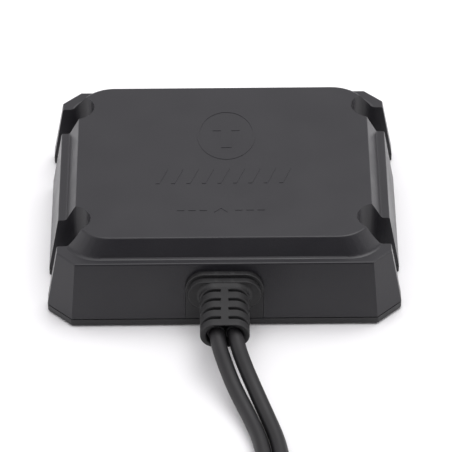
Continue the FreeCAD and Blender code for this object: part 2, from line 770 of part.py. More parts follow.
# Sheet metal fence round the radio circuits, and the cover that clips over it.
can_size = ("@can_length", "@can_width")
can_hollow = ("@can_length - 2 * @can_wall", "@can_width - 2 * @can_wall")
can_centre = ("0", "@can_y")
fence = block("fence_block", can_centre, can_size, "@board_top", "@can_height")
fence_hollow = block(
    "fence_hollow", can_centre, can_hollow, "@board_top - @over", "@can_height + 2 * @over"
)
node(cut("fence_cut", fence, fence_hollow), "shield_frame")
cover_size = ("@can_length + 2 * @can_wall", "@can_width + 2 * @can_wall")
cover = block(
    "cover_block", can_centre, cover_size, "@board_top + @over", "@can_height - @over + @can_wall"
)
cover_hollow = block("cover_hollow", can_centre, can_size, "@board_top", "@can_height")
node(cut("cover_cut", cover, cover_hollow), "shield_cover")

# Patch antenna under the lid.
plane = box(
    "plane_slab",
    ("-@plane_half_x", "-@plane_half_y", "@plane_bottom"),
    ("@plane_half_x", "@plane_half_y", "@plane_top"),
)
feed_hole = post("feed_hole", "@feed_hole_radius", "@outside", "@feed_x", "0", "@plane_bottom - @over")
node(cut("plane_cut", plane, feed_hole), "antenna_ground_plane")
spacers = posts_at("spacer", SPACERS, "@spacer_radius", "@plane_bottom - @board_top", "@board_top")
node(group("spacer_set", spacers), "antenna_spacers")
patch_top = "@plane_top + @patch_height"
pad_bottom = f"{patch_top} + @electrode_height"
patch_bore = post("patch_bore", "@pin_radius", "@outside", "@feed_x", "0", "@plane_top - @over")
patch = block("patch_block", ("0", "0"), ("@patch_side", "@patch_side"), "@plane_top", "@patch_height")
node(cut("patch_cut", patch, patch_bore), "antenna_ceramic")
electrode = block(
    "electrode_block", ("0", "0"), ("@electrode_side", "@electrode_side"), patch_top, "@electrode_height"
)
node(cut("electrode_cut", electrode, patch_bore), "antenna_electrode")
pin_bottom = "@plane_bottom - @pin_radius"
node(
    post("feed_rod", "@pin_radius", f"{pad_bottom} - ({pin_bottom})", "@feed_x", "0", pin_bottom),
    "antenna_feed_pin",
)
foam_height = f"@lid_height - @roof - @foam_gap - ({pad_bottom})"
node(
    block("foam_block", ("0", "0"), ("@foam_side", "@foam_side"), pad_bottom, foam_height),
    "antenna_foam_pad",
)

# The free leads: a tube to each coil, the coil's outer form, its tie, and a tube to the plug.
tails = {}
for lead, route, tail, coil_x in (
    ("coax", COAX_ROUTE, COAX_TAIL, "@coax_coil_x"),
    ("power", POWER_ROUTE, POWER_TAIL, "@power_coil_x"),
):
    rim = post(f"{lead}_coil_rim", "@coil_outer", "@coil_height", coil_x, "@coil_y", "@coil_bottom")
    eye = post(f"{lead}_coil_eye", "@coil_inner", "@outside", coil_x, "@coil_y", "@coil_bottom - @over")
    coil = node(cut(f"{lead}_coil_cut", rim, eye), f"{lead}_coil")
    cord_tube = tube(f"{lead}_cord_tube", route, "@cord_radius")
    node(cut(f"{lead}_cord_cut", cord_tube, rim, held_leads[lead], boot), f"{lead}_cord")
    tail_tube = tube(f"{lead}_tail_tube", tail, "@cord_radius")
    tails[lead] = node(cut(f"{lead}_tail_cut", tail_tube, rim), f"{lead}_cord_tail")
    band = box(
        f"{lead}_band",
        (f"{coil_x} - @tie_width / 2", "@coil_y - @coil_outer - @tie_thick", "@coil_bottom - @tie_thick"),
        (
            f"{coil_x} + @tie_width / 2",
            "@coil_y - @coil_inner + @tie_thick",
            "@coil_bottom + @coil_height + @tie_thick",
        ),
    )
    node(cut(f"{lead}_tie_cut", band, coil), f"{lead}_coil_tie")


def on_plug(name, radius, back, front):
    """A round bar on the coax plug's axis."""
    return rod(name, radius, "@plug_x", "@plug_z", back, front)


# Screw-on coax plug, pointing towards -Y: sleeve, ferrule, body, insulator, pin and spinning nut.
body_back = "@plug_back - 9"
nut_back = f"{body_back} - 2.9"
nut_front = f"{nut_back} - @nut_length"
shank_front = f"{nut_front} + 0.6"
insulator_back = f"{body_back} - 1.2"
sleeve_taper = taper(
    "sleeve_taper", "@sleeve_tip_radius", "@sleeve_radius", "@plug_x", "@plug_z",
    "@plug_back + 5", "@plug_back + 1",
)
sleeve_rod = on_plug("sleeve_rod", "@sleeve_radius", "@plug_back + 1", f"{body_back} + 0.6")
ferrule_rod = on_plug("ferrule_rod", "@ferrule_radius", "@plug_back", body_back)
sleeve = fuse("sleeve_blank", sleeve_taper, sleeve_rod)
node(cut("sleeve_cut", sleeve, tails["coax"], ferrule_rod), "plug_sleeve")
braid_bore = on_plug("braid_bore", "@braid_radius", "@plug_back + @over", f"{body_back} - @over")
node(cut("ferrule_cut", ferrule_rod, braid_bore, tails["coax"]), "plug_crimp_ferrule")
collar = on_plug("plug_collar", "@collar_radius", body_back, f"{nut_back} + 0.1")
shank = on_plug("plug_shank", "@shank_radius", f"{nut_back} + 0.2", shank_front)
plug_bore = on_plug("plug_bore", "@insulator_radius", insulator_back, f"{shank_front} - @over")
wire_bore = on_plug("wire_bore", "@contact_pin_radius", f"{body_back} + @over", f"{body_back} - 2")
plug_blank = fuse("plug_body_blank", collar, shank)
node(cut("plug_body_cut", plug_blank, plug_bore, wire_bore), "plug_body")
insulator = on_plug("insulator_rod", "@insulator_radius", insulator_back, f"{shank_front} + 2.4")
pin_bore = on_plug("pin_bore", "@contact_pin_radius", f"{body_back} + @over", shank_front)
node(cut("insulator_cut", insulator, pin_bore), "plug_insulator")
pin = on_plug("pin_rod", "@contact_pin_radius", body_back, f"{shank_front} + 0.4")
node(pin, "plug_centre_pin")
nut_blank = doc.addObject("Part::Prism", "nut_blank")
nut_blank.Polygon = 6
nut_blank.Placement = Placement(Vector(), Rotation(Vector(1, 0, 0), 90))
bind(nut_blank, Circumradius="@nut_flats / sqrt(3)", Height="@nut_length")
place(nut_blank, "@plug_x", nut_back, "@plug_z")
nut_round = on_plug("nut_round", "@nut_flats / 2 + @nut_corner", nut_back, nut_front)
nut_neck = on_plug(
    "nut_neck", "@shank_radius + @nut_clearance", f"{nut_back} + @over", f"{nut_front} - @over"
)
nut_mouth = on_plug("nut_mouth", "@nut_bore", f"{nut_back} - 1.6", f"{nut_front} - @over")
node(cut("nut_cut", common("nut_form", nut_blank, nut_round), nut_neck, nut_mouth), "coupling_nut")


def on_barrel(name, radius, back, front):
    """A round bar on the power plug's axis."""
    return rod(name, radius, "@barrel_x", "@barrel_z", back, front)


# Barrel plug of the power lead, pointing towards -Y.
tip = "@grip_front - @barrel_length"
shoulder_front = "@grip_back - @grip_shoulder"
grip_tail = taper(
    "grip_tail", "@grip_tail_radius", "@grip_neck_radius", "@barrel_x", "@barrel_z",
    "@grip_back + @grip_tail_length", "@grip_back",
)
grip_shoulder = taper(
    "grip_shoulder", "@grip_neck_radius", "@grip_radius", "@barrel_x", "@barrel_z",
    "@grip_back", shoulder_front,
)
grip_rod = on_barrel("grip_rod", "@grip_radius", shoulder_front, "@grip_front")
grip_blank = fuse("grip_blank", grip_tail, grip_shoulder, grip_rod)
barrel_rod = on_barrel("barrel_rod", "@barrel_radius", "@grip_front", tip)
liner_rod = on_barrel("liner_rod", "@liner_radius", "@grip_front + @liner_root", tip)
socket_rod = on_barrel("socket_rod", "@socket_radius", "@grip_front + @liner_root + 1.6", f"{tip} + 0.5")
node(cut("grip_cut", grip_blank, tails["power"], liner_rod, socket_rod), "power_plug_grip")
node(cut("barrel_cut", barrel_rod, liner_rod), "power_plug_barrel")
socket_mouth = on_barrel("socket_mouth", "@socket_bore", "@grip_front + @liner_root - 0.4", f"{tip} - @over")
node(cut("liner_cut", liner_rod, socket_rod, socket_mouth), "power_plug_insulator")
node(cut("contact_cut", socket_rod, socket_mouth), "power_plug_contact")

doc.recompute()
bad = [o.Name for o in doc.Objects if "Invalid" in o.State or "Error" in o.State]
for part in nodes:
    if part.Shape.isNull() or not part.Shape.isValid() or not part.Shape.Solids:
        bad.append(part.Label)
if bad:
    raise RuntimeError(f"these objects failed: {bad}")

os.makedirs("parts", exist_ok=True)
for part in nodes:
    part.Shape.exportStep(f"parts/{part.Label}.step")
print(f"{len(nodes)} sub-parts")
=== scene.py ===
import math

import bmesh
import bpy
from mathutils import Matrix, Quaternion, Vector


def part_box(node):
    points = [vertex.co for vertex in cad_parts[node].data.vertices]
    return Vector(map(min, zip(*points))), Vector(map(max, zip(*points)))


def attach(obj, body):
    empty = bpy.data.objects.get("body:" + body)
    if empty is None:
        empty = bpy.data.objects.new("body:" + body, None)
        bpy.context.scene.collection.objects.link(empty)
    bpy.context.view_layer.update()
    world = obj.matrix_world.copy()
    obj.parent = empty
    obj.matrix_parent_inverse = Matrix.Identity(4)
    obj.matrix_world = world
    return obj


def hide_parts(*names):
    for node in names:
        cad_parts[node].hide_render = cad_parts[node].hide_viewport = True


# A flat weatherproof radio unit with two leads, in metres, in the frame of its CAD model.
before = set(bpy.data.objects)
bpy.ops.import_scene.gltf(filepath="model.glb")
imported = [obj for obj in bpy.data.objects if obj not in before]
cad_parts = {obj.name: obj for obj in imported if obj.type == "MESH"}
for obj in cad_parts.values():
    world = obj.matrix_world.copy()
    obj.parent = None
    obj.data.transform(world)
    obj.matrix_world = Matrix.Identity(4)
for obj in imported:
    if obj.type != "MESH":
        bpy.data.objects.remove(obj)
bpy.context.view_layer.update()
MM = 0.001

# The camera looks down at the unit from the side that the leads leave.
CAMERA_PLACE = Vector((-0.00105, -0.88114, 0.69452))
CAMERA_AIM = Vector((0.00061, -0.01449, 0.0125))
CAMERA_ROLL = math.radians(-0.413)
CAMERA_LENS = 307.46

# The leads. Their routes are the CAD model's: from the strain relief to the coil, and on to the plug.
CORD_DIAMETER = 0.0044
COAX_ROUTE = [
    (-0.0024, -0.0605, 0.0122), (-0.0019, -0.0652, 0.0112), (0.00015, -0.0709, 0.0079),
    (0.0027, -0.0774, 0.0049), (0.0064, -0.0860, 0.00285), (0.0097, -0.0965, 0.00225),
    (0.0110, -0.1085, 0.00225), (0.0103, -0.1205, 0.0024), (0.0084, -0.1320, 0.0028),
    (0.0078, -0.1400, 0.0028),
]
POWER_ROUTE = [
    (0.0027, -0.0605, 0.0122), (0.0032, -0.0652, 0.0113), (0.00535, -0.0709, 0.0080),
    (0.0081, -0.0774, 0.0050), (0.0112, -0.0860, 0.0030), (0.0144, -0.0965, 0.00225),
    (0.0155, -0.1085, 0.00225), (0.0149, -0.1205, 0.0024), (0.0130, -0.1320, 0.0028),
    (0.0125, -0.1400, 0.0028),
]
COAX_TAIL = [
    (0.0079, -0.1538, 0.01595), (0.00795, -0.1585, 0.01525), (0.00795, -0.1631, 0.0137),
    (0.00765, -0.1673, 0.0115), (0.0069, -0.1712, 0.00865), (0.0060, -0.1754, 0.00635),
    (0.0052, -0.1799, 0.0048), (0.0046, -0.1845, 0.0040),
]
POWER_TAIL = [
    (0.01245, -0.1538, 0.01595), (0.01245, -0.1585, 0.0153), (0.01265, -0.1631, 0.01385),
    (0.01325, -0.1673, 0.01185), (0.0142, -0.1712, 0.0093), (0.0153, -0.1754, 0.0072),
    (0.01625, -0.1799, 0.00575), (0.0170, -0.1845, 0.0050),
]
TURN_POINTS = 24  # points of one turn of a coil
COLUMNS = 3  # turns beside each other in a coil
CROSSING = 0.25  # share of a turn in which it moves over to the next one's place
STAGGER = 0.05  # how much earlier in its turn each further crossing starts

# Surface recipes, one for each material slot: darker colour, paler colour, metallic, least and most
# roughness, grain size and depth in mm, and size of the cloudy variation in mm.
SURFACES = {
    "housing_plastic": ((0.0125, 0.0118, 0.0150), (0.0160, 0.0152, 0.0185), 0, 0.30, 0.40, 0.45, 0.030, 14),
    "base_plastic": ((0.0110, 0.0108, 0.0120), (0.0150, 0.0146, 0.0160), 0, 0.34, 0.46, 0.45, 0.030, 11),
    "boot_rubber": ((0.0095, 0.0093, 0.0100), (0.0140, 0.0136, 0.0144), 0, 0.50, 0.64, 0.22, 0.012, 5),
    "seal_rubber": ((0.014, 0.014, 0.015), (0.020, 0.020, 0.021), 0, 0.55, 0.70, 0.4, 0.020, 6),
    "lead_jacket": ((0.0080, 0.0074, 0.0086), (0.0120, 0.0110, 0.0124), 0, 0.44, 0.58, 0.35, 0.012, 18),
    "sleeve_black": ((0.010, 0.010, 0.011), (0.016, 0.016, 0.017), 0, 0.40, 0.55, 0.5, 0.025, 4),
    "grip_black": ((0.012, 0.012, 0.013), (0.018, 0.018, 0.019), 0, 0.35, 0.50, 0.3, 0.012, 6),
    "tie_strap": ((0.012, 0.012, 0.013), (0.045, 0.045, 0.048), 0, 0.75, 0.95, 0.5, 0.12, 1.5),
    "screw_steel": ((0.42, 0.42, 0.43), (0.55, 0.55, 0.56), 1, 0.25, 0.42, 0.25, 0.008, 3),
    "tin_plate": ((0.52, 0.52, 0.51), (0.66, 0.66, 0.64), 1, 0.28, 0.45, 0.6, 0.010, 8),
    "nickel": ((0.50, 0.48, 0.44), (0.62, 0.60, 0.56), 1, 0.15, 0.30, 0.2, 0.004, 4),
    "gold_plate": ((0.72, 0.47, 0.14), (0.85, 0.60, 0.22), 1, 0.16, 0.32, 0.2, 0.005, 4),
    "silver_plate": ((0.70, 0.69, 0.66), (0.82, 0.81, 0.79), 1, 0.22, 0.40, 0.5, 0.010, 6),
    "circuit_board": ((0.006, 0.050, 0.022), (0.012, 0.085, 0.038), 0, 0.25, 0.45, 1.2, 0.020, 2.5),
    "chip_black": ((0.012, 0.012, 0.012), (0.022, 0.022, 0.022), 0, 0.50, 0.65, 0.15, 0.010, 3),
    "ferrite": ((0.030, 0.028, 0.027), (0.050, 0.047, 0.045), 0, 0.55, 0.75, 0.25, 0.020, 2),
    "white_nylon": ((0.62, 0.60, 0.54), (0.72, 0.70, 0.65), 0, 0.40, 0.55, 0.4, 0.010, 5),
    "antenna_ceramic": ((0.50, 0.42, 0.31), (0.62, 0.54, 0.42), 0, 0.45, 0.60, 0.3, 0.015, 6),
    "bare_coax": ((0.035, 0.028, 0.022), (0.055, 0.045, 0.036), 0, 0.40, 0.55, 0.3, 0.010, 5),
    "wire_red": ((0.30, 0.010, 0.008), (0.42, 0.020, 0.015), 0, 0.35, 0.50, 0.3, 0.008, 5),
    "foam": ((0.06, 0.06, 0.065), (0.11, 0.11, 0.115), 0, 0.85, 0.97, 0.6, 0.25, 2),
}
# Widths of the rounded edges, in mm.
BEVELLED = {
    "top_housing": 0.22, "base_plate": 0.25, "cable_entry_insert": 0.12, "plug_body": 0.12,
    "plug_crimp_ferrule": 0.10, "power_plug_barrel": 0.10, "shield_cover": 0.15, "amplifier_chip": 0.12,
    "controller_chip": 0.12, "voltage_regulator": 0.2, "power_inductor": 0.5, "base_screws": 0.10,
}
SHARP_ANGLE = math.radians(32)
GRAINED_SIDES = ("housing_plastic", "base_plastic")  # moulded smooth on level faces, grained elsewhere
SMOOTH_SHARE = 0.25  # how much of the grain is left on their level faces
LEVEL_START, LEVEL_END = 0.90, 0.99  # the normal's share upwards over which a face becomes level
CLOUD_LOW, CLOUD_HIGH = 0.3, 0.7  # the noise values that give the smoothest and the roughest finish
REFRACTION = 1.45
RAMP = ("From Min", "From Max", "To Min", "To Max")  # a Map Range node's sockets


def surface(slot):
    """A procedural finish in the row frame's own scale, so that its grain has its real size."""
    low, high, metallic, smooth, rough, grain, depth, cloud = SURFACES[slot]
    made = bpy.data.materials.new(f"{slot}_surface")
    made.use_nodes = True
    tree = made.node_tree
    add, link = tree.nodes.new, tree.links.new
    shader = tree.nodes["Principled BSDF"]
    shader.inputs["Metallic"].default_value = metallic
    shader.inputs["IOR"].default_value = REFRACTION
    place = add("ShaderNodeTexCoord")

    def noise(size_mm, detail):
        texture = add("ShaderNodeTexNoise")
        texture.inputs["Scale"].default_value = 1 / (size_mm * MM)
        texture.inputs["Detail"].default_value = detail
        link(place.outputs["Object"], texture.inputs["Vector"])
        return texture.outputs["Fac"]

    clouds, fine = noise(cloud, 4), noise(grain, 3)
    blend = add("ShaderNodeMix")
    blend.data_type = "RGBA"
    blend.inputs["A"].default_value = (*low, 1)
    blend.inputs["B"].default_value = (*high, 1)
    link(clouds, blend.inputs["Factor"])
    link(blend.outputs["Result"], shader.inputs["Base Color"])
    ramp = add("ShaderNodeMapRange")
    for socket, amount in zip(RAMP, (CLOUD_LOW, CLOUD_HIGH, smooth, rough)):
        ramp.inputs[socket].default_value = amount
    link(clouds, ramp.inputs["Value"])
    link(ramp.outputs["Result"], shader.inputs["Roughness"])
    bump = add("ShaderNodeBump")
    bump.inputs["Strength"].default_value = 1
    bump.inputs["Distance"].default_value = depth * MM
    if slot in GRAINED_SIDES:
        geometry, split = add("ShaderNodeNewGeometry"), add("ShaderNodeSeparateXYZ")
        level = add("ShaderNodeMapRange")
        link(geometry.outputs["Normal"], split.inputs["Vector"])
        link(split.outputs["Z"], level.inputs["Value"])
        for socket, amount in zip(RAMP, (LEVEL_START, LEVEL_END, 1, SMOOTH_SHARE)):
            level.inputs[socket].default_value = amount
        link(level.outputs["Result"], bump.inputs["Strength"])
    link(fine, bump.inputs["Height"])
    link(bump.outputs["Normal"], shader.inputs["Normal"])
    return made


def finish_with(piece, slot):
    """Gives a new piece the finish of one of the record's material slots."""
    piece.data.materials.clear()
    piece.data.materials.append(surfaces[slot])
    return piece


surfaces = {slot: surface(slot) for slot in SURFACES}
for cad_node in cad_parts.values():
    for held in cad_node.material_slots:
        held.material = surfaces[held.material.name]


def flatten_faces(piece):
    """Shades the large faces flat and leaves the turn to the small faces along their edges."""
    shading = piece.modifiers.new("shading", "WEIGHTED_NORMAL")
    shading.keep_sharp = True
    shading.weight = 100


def mesh_piece(name, points, faces):
    """A mesh object with a crease wherever two faces meet at a sharp angle."""
    mesh = bpy.data.meshes.new(name)
    mesh.from_pydata(points, [], faces)
    work = bmesh.new()
    work.from_mesh(mesh)
    bmesh.ops.remove_doubles(work, verts=work.verts, dist=1e-7)
    bmesh.ops.recalc_face_normals(work, faces=work.faces)
    for face in work.faces:
        face.smooth = True
    for edge in work.edges:
        edge.smooth = edge.calc_face_angle(0) < SHARP_ANGLE
    work.to_mesh(mesh)
    work.free()
    made = bpy.data.objects.new(name, mesh)
    bpy.context.scene.collection.objects.link(made)
    flatten_faces(made)
    return made


def skin(rings, loop=False):
    """Points and faces of a skin over rings of points. Its ends are capped, or with loop they meet."""
    count = len(rings[0])
    points = [point for ring in rings for point in ring]
    faces = []
    for i in range(len(rings) if loop else len(rings) - 1):
        here, there = i * count, (i + 1) % len(rings) * count
        for k in range(count):
            after = (k + 1) % count
            faces.append((here + k, here + after, there + after, there + k))
    if not loop:
        faces += [tuple(range(count)), tuple(range(len(points) - count, len(points)))]
    return points, faces


def join(*parts):
    """Several (points, faces) as one."""
    points, faces = [], []
    for some_points, some_faces in parts:
        faces += [tuple(k + len(points) for k in face) for face in some_faces]
        points += some_points
    return points, faces


def turned(x, z, profile, sides=48, reach=None, loop=False):
    """A skin round an axis along Y, from (y, radius) pairs. reach(angle, radius) may shape each ring."""
    rings = []
    for y, radius in profile:
        ring = []
        for k in range(sides):
            angle = 2 * math.pi * k / sides
            r = reach(angle, radius) if reach else radius
            ring.append(Vector((x + r * math.cos(angle), y, z + r * math.sin(angle))))
        rings.append(ring)
    return skin(rings, loop=loop)


def ease(share):
    """0 to 1 with a soft start and end."""
    share = min(1.0, max(0.0, share))
    return share * share * (3 - 2 * share)


# Camera.
camera = bpy.data.objects.new("camera", bpy.data.cameras.new("camera"))
bpy.context.scene.collection.objects.link(camera)
bpy.context.scene.camera = camera
camera.data.lens = CAMERA_LENS
camera.data.sensor_width = 36
camera.data.clip_start, camera.data.clip_end = 0.05, 20
camera.location = CAMERA_PLACE
camera.rotation_mode = "QUATERNION"
camera.rotation_quaternion = (CAMERA_AIM - CAMERA_PLACE).to_track_quat("-Z", "Y") @ Quaternion(
    (0, 0, 1), CAMERA_ROLL
)


# Leads.
def coil_turns(node, way):
    """The turns of a neat round coil that fills its CAD solid. It starts and ends on the side that
    faces its lead, heading -Y. way is -1 for a coil on the -X side of its lead, and 1 on the +X side."""
    low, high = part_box(node)
    centre = (low + high) / 2
    outer = (high.x - low.x) / 2 - CORD_DIAMETER / 2
    levels = round((high.z - low.z) / CORD_DIAMETER)
    places = []
    for level in range(levels):
        order = range(COLUMNS) if level % 2 == 0 else reversed(range(COLUMNS))
        places += [
            (outer - column * CORD_DIAMETER, low.z + (level + 0.5) * CORD_DIAMETER) for column in order
        ]
    hug = 1 / math.cos(math.pi / TURN_POINTS)  # control points lie outside the curve that they draw
    points = []
    for turn, (radius, height) in enumerate(places[:-1]):
        after = places[turn + 1]
        rank = 2 * (turn // COLUMNS) + (turn % COLUMNS == COLUMNS - 1)
        start = 1 - CROSSING - rank * STAGGER
        for k in range(TURN_POINTS):
            share = k / TURN_POINTS
            moved = ease((share - start) / CROSSING)
            r = (radius + (after[0] - radius) * moved) * hug
            z = height + (after[1] - height) * moved
            angle = 2 * math.pi * share
            points.append((centre.x - way * r * math.cos(angle), centre.y - r * math.sin(angle), z))
    last_radius, last_height = places[-1]
    points.append((centre.x - way * last_radius * hug, centre.y, last_height))
    return points


def round_cord(name, points):
    """A round cord on one smooth spline, as a mesh, and the points of its centreline."""
    curve = bpy.data.curves.new(name, "CURVE")
    curve.dimensions = "3D"
    curve.resolution_u = 6
    spline = curve.splines.new("NURBS")
    spline.points.add(len(points) - 1)
    for held, point in zip(spline.points, points):
        held.co = (*point, 1)
    spline.order_u = 3
    spline.use_endpoint_u = True
    drawn = bpy.data.objects.new(f"{name}_spline", curve)
    line = bpy.data.meshes.new_from_object(drawn)
    path = [tuple(vertex.co) for vertex in line.vertices]
    curve.bevel_depth = CORD_DIAMETER / 2
    curve.bevel_resolution = 5
    curve.use_fill_caps = True
    made = bpy.data.objects.new(name, bpy.data.meshes.new_from_object(drawn))
    bpy.context.scene.collection.objects.link(made)
    bpy.data.meshes.remove(line)
    bpy.data.curves.remove(curve)
    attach(made, "unit")
    return finish_with(made, "lead_jacket"), path


coax_points = [*COAX_ROUTE, *coil_turns("coax_coil", -1), *COAX_TAIL]
coax_lead, coax_path = round_cord("coax_lead", coax_points)
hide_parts("coax_cord", "coax_coil", "coax_cord_tail")
power_points = [*POWER_ROUTE, *coil_turns("power_coil", 1), *POWER_TAIL]
power_lead, power_path = round_cord("power_lead", power_points)
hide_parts("power_cord", "power_coil", "power_cord_tail")


# Coil ties: a hook-and-loop strap round each coil's section, with its end lapped over itself.
STRAP_THICK, STRAP_HALF_WIDTH, STRAP_CORNER = 0.5 * MM, 2.3 * MM, 2.35 * MM
STRAP_SECTION = (  # shares of the half width and of the half thickness
    (-1, -0.6), (-1, 0.6), (-0.92, 1), (0.92, 1), (1, 0.6), (1, -0.6), (0.92, -1), (-0.92, -1),
)
STRAP_ARC = 7  # points of each corner


def strap(name, coil_node):
    """A flat strap that fills the coil tie's outer form. Its end laps over the top and down the front."""
    low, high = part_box(f"{coil_node}_tie")
    middle = (low + high) / 2
    straight_y = (high.y - low.y - STRAP_THICK) / 2 - STRAP_CORNER
    straight_z = (high.z - low.z - STRAP_THICK) / 2 - STRAP_CORNER

    def path(grow):
        """Points round the tie, with the way out at each, grown outwards."""
        made = []
        for quarter, (way_y, way_z) in enumerate(((1, 1), (-1, 1), (-1, -1), (1, -1))):
            for k in range(STRAP_ARC):
                angle = math.pi / 2 * (quarter + k / (STRAP_ARC - 1))
                out = Vector((0, math.cos(angle), math.sin(angle)))
                corner = middle + Vector((0, way_y * straight_y, way_z * straight_z))
                made.append((corner + out * (STRAP_CORNER + grow), out))
        return made

    def band(stations, closed):
        rings = [
            [
                point + out * (up * STRAP_THICK / 2) + Vector((across * STRAP_HALF_WIDTH, 0, 0))
                for across, up in STRAP_SECTION
            ]
            for point, out in stations
        ]
        return skin(rings, loop=closed)

    lapped = path(STRAP_THICK)
    lap = lapped[STRAP_ARC - 1:2 * STRAP_ARC]
    lap.append(((lapped[2 * STRAP_ARC - 1][0] + lapped[2 * STRAP_ARC][0]) / 2, lap[-1][1]))
    piece = mesh_piece(name, *join(band(path(0), True), band(lap, False)))
    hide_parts(f"{coil_node}_tie")
    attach(piece, "unit")
    return finish_with(piece, "tie_strap")


coax_strap = strap("coax_coil_strap", "coax_coil")
power_strap = strap("power_coil_strap", "power_coil")


# Strain relief: stepped flange, slit sleeve with a spine, and a recess that the leads come out of.
# All of it in mm. Distances along it count from its free end.
BOOT_HALF, BOOT_HALF_HEIGHT, SLEEVE_LENGTH = 6.9, 4.1, 17.7
FLANGE_HALF, FLANGE_HALF_HEIGHT = 11.05, 5.5
FLANGE_STEP, FLANGE_STEP_DEPTH = 0.75, 2.4
FLANGE_BACK, FLANGE_DRAFT = 22.4, 0.35  # each step narrows by the draft from its rim to its back
RIM_ROUND = 0.35
SLIT_DEPTH, SLIT_WIDTH, SLIT_PITCH, SLIT_COUNT = 1.5, 1.15, 3.97, 4
LAST_SLIT = 3.19  # middle of the slit nearest to the free end
SPINE_HALF, SPINE_EASE = 1.15, 0.4
RECESS_DEPTH = 2.7
COLLAR_RADIUS, COLLAR_BORE, COLLAR_HEIGHT, COLLAR_ROUND = 2.52, 2.15, 1.5, 0.15
# The end inside the housing: (distance, half width, half height)
INNER_END = (
    (25.6, 7.2, 4.4), (25.4, 7.4, 4.6), (24.4, 7.4, 4.6), (24.2, 7.2, 4.4), (24.2, 5.8, 3.3),
    (FLANGE_BACK, 5.8, 3.3),
)
# The free end: (distance, how far inside the sleeve's half width, and inside its half height)
FREE_END = (
    (0.45, 0, 0), (0.20, 0.06, 0.06), (0.05, 0.2, 0.16), (0, 0.38, 0.30), (0, 1.35, 0.36),
    (0.06, 1.55, 0.46), (0.3, 1.75, 0.6), (RECESS_DEPTH - 0.3, 1.75, 0.6), (RECESS_DEPTH, 2.0, 0.9),
)
# The sleeve's root at the flange: (distance from the flange, how much wider, and how much higher)
ROOT = (
    (0, 1.1, 0.38), (0.1, 0.68, 0.32), (0.35, 0.33, 0.24),
    (0.7, 0.09, 0.12), (1.1, 0, 0.03), (1.3, 0, 0),
)
# (distance inwards from the slit's edge, share of its depth)
SLIT_EDGE = ((-0.16, 0), (-0.05, 0.05), (0.04, 0.14), (0.07, 0.5), (0.1, 0.93), (0.2, 1))


def boot_sections():
    """(distance, half width, half height, slit share) from the end inside the housing to the recess."""
    sections = [(*section, 0) for section in INNER_END]
    back = FLANGE_BACK
    for step in (0, 1):
        half, high = FLANGE_HALF - step * FLANGE_STEP, FLANGE_HALF_HEIGHT - step * FLANGE_STEP
        front = SLEEVE_LENGTH + (1 - step) * FLANGE_STEP_DEPTH
        sections.append((back, half - FLANGE_DRAFT, high - FLANGE_DRAFT, 0))
        for k in range(4):
            turn = math.radians(30 * k)
            inset = RIM_ROUND * (1 - math.cos(turn))
            sections.append((front + RIM_ROUND * (1 - math.sin(turn)), half - inset, high - inset, 0))
        back = front
    for along, wider, higher in ROOT:
        sections.append((SLEEVE_LENGTH - along, BOOT_HALF + wider, BOOT_HALF_HEIGHT + higher, 0))
    for slit in reversed(range(SLIT_COUNT)):
        middle = LAST_SLIT + slit * SLIT_PITCH
        back_edge = [(middle + SLIT_WIDTH / 2 - inwards, share) for inwards, share in SLIT_EDGE]
        front_edge = [
            (middle - SLIT_WIDTH / 2 + inwards, share) for inwards, share in reversed(SLIT_EDGE)
        ]
        sections += [(y, BOOT_HALF, BOOT_HALF_HEIGHT, share) for y, share in back_edge + front_edge]
    sections += [(y, BOOT_HALF - inset, BOOT_HALF_HEIGHT - under, 0) for y, inset, under in FREE_END]
    return sections


def boot_outline():
    """(x on the straight stretch, angle) round a section that has a half-round at each side."""
    flat = BOOT_HALF - BOOT_HALF_HEIGHT
    near_spine = [SPINE_HALF - 0.3 + 0.1 * k for k in range(7)]
    straight = sorted({side * x for x in (0, 0.5, 1.8, *near_spine) for side in (-1, 1)} | {-flat, flat})
    arc_steps = 30
    over = [(x, 90) for x in straight]
    right = [(flat, 90 - 180 * k / arc_steps) for k in range(1, arc_steps)]
    under = [(x, -90) for x in reversed(straight)]
    left = [(-flat, -90 - 180 * k / arc_steps) for k in range(1, arc_steps)]
    return over + right + under + left


def boot():
    """The strain relief, as one skin over its sections and a collar round each lead in its recess."""
    front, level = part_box("strain_relief_boot")[0].y, COAX_ROUTE[0][2]
    flat = BOOT_HALF - BOOT_HALF_HEIGHT
    around = boot_outline()
    rings = []
    for y, half, half_height, share in boot_sections():
        stretch = (half - half_height) / flat
        ring = []
        for x, angle in around:
            off_spine = ease((abs(x) - SPINE_HALF + SPINE_EASE / 2) / SPINE_EASE)
            radius = half_height - share * SLIT_DEPTH * off_spine
            turn = math.radians(angle)
            across, up = x * stretch + radius * math.cos(turn), radius * math.sin(turn)
            ring.append(Vector((across * MM, front + y * MM, level + up * MM)))
        rings.append(ring)
    collars = []
    floor_y = front + RECESS_DEPTH * MM
    rim_y = floor_y - COLLAR_HEIGHT * MM
    for lead_x, _, lead_z in (COAX_ROUTE[0], POWER_ROUTE[0]):
        profile = [
            (floor_y, COLLAR_RADIUS), (rim_y + COLLAR_ROUND * MM, COLLAR_RADIUS),
            (rim_y, COLLAR_RADIUS - COLLAR_ROUND * 0.8),
            (rim_y, COLLAR_BORE), (floor_y, COLLAR_BORE),
        ]
        collars.append(turned(lead_x, lead_z, [(y, r * MM) for y, r in profile]))
    piece = mesh_piece("strain_relief", *join(skin(rings), *collars))
    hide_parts("strain_relief_boot")
    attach(piece, "unit")
    return finish_with(piece, "boot_rubber")


strain_relief = boot()


